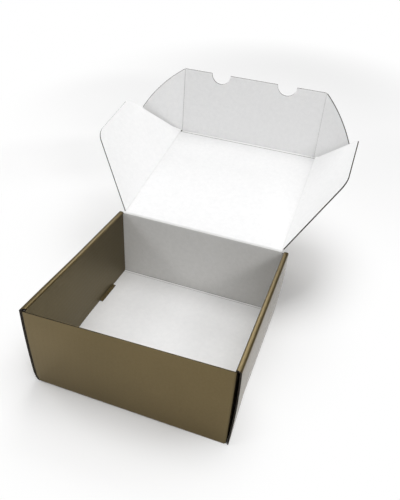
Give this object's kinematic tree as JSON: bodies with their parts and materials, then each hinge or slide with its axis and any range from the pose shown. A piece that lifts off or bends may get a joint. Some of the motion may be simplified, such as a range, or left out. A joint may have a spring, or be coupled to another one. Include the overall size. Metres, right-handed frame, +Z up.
{
  "type": "laminated shipping box",
  "caption": "Open folding corrugated mailer with rolled side walls and a hinged lid whose side wings and notched tuck flap fold in; gold laminate outside, white liner inside",
  "frame": {"origin": "middle of the tray's base, on its underside, which rests on the table", "axes": "+X to the right along the front wall, +Y from the front wall to the back wall that carries the lid, +Z up"},
  "size_m": [0.3739, 0.4764, 0.2726],
  "materials": {
    "tray": "dull gold film laminated outside, matt white paper liner inside, bare cut edges",
    "lid_panel": "dull gold film laminated outside, matt white paper liner inside, bare cut edges",
    "lid_wing_left": "dull gold film laminated outside, matt white paper liner inside, bare cut edges",
    "lid_wing_right": "dull gold film laminated outside, matt white paper liner inside, bare cut edges",
    "tuck_flap": "dull gold film laminated outside, matt white paper liner inside, bare cut edges",
    "tuck_ear_left": "dull gold film laminated outside, matt white paper liner inside, bare cut edges",
    "tuck_ear_right": "dull gold film laminated outside, matt white paper liner inside, bare cut edges"
  },
  "bodies": {
    "tray": {"tray": "tray"},
    "lid_panel": {"lid_panel": "lid_panel"},
    "lid_wing_left": {"lid_wing_left": "lid_wing_left"},
    "lid_wing_right": {"lid_wing_right": "lid_wing_right"},
    "tuck_flap": {"tuck_flap": "tuck_flap"},
    "tuck_ear_left": {"tuck_ear_left": "tuck_ear_left"},
    "tuck_ear_right": {"tuck_ear_right": "tuck_ear_right"}
  },
  "joints": [
    {"name": "lid_hinge", "type": "hinge", "parent": "tray", "child": "lid_panel", "pos_m": [0, 0.1231, 0.1121], "axis": [1, 0, 0], "range_deg": [-39, 117]},
    {"name": "wing_left_fold", "type": "hinge", "parent": "lid_panel", "child": "lid_wing_left", "pos_m": [-0.1203, 0.23655, 0.13746], "axis": [0, 0.9759, 0.2181], "range_deg": [-49.3, 40.7]},
    {"name": "wing_right_fold", "type": "hinge", "parent": "lid_panel", "child": "lid_wing_right", "pos_m": [0.1203, 0.23655, 0.13746], "axis": [0, -0.9759, -0.2181], "range_deg": [-53.7, 36.3]},
    {"name": "tuck_fold", "type": "hinge", "parent": "lid_panel", "child": "tuck_flap", "pos_m": [0, 0.35147, 0.16315], "axis": [1, 0, 0], "range_deg": [-78.5, 11.5]},
    {"name": "ear_left_fold", "type": "hinge", "parent": "tuck_flap", "child": "tuck_ear_left", "pos_m": [-0.118, 0.35041, 0.21788], "axis": [0, -0.0192, 0.9998], "range_deg": [-36, 7.5]},
    {"name": "ear_right_fold", "type": "hinge", "parent": "tuck_flap", "child": "tuck_ear_right", "pos_m": [0.118, 0.35041, 0.21788], "axis": [0, 0.0192, -0.9998], "range_deg": [-40, 6]}
  ]
}
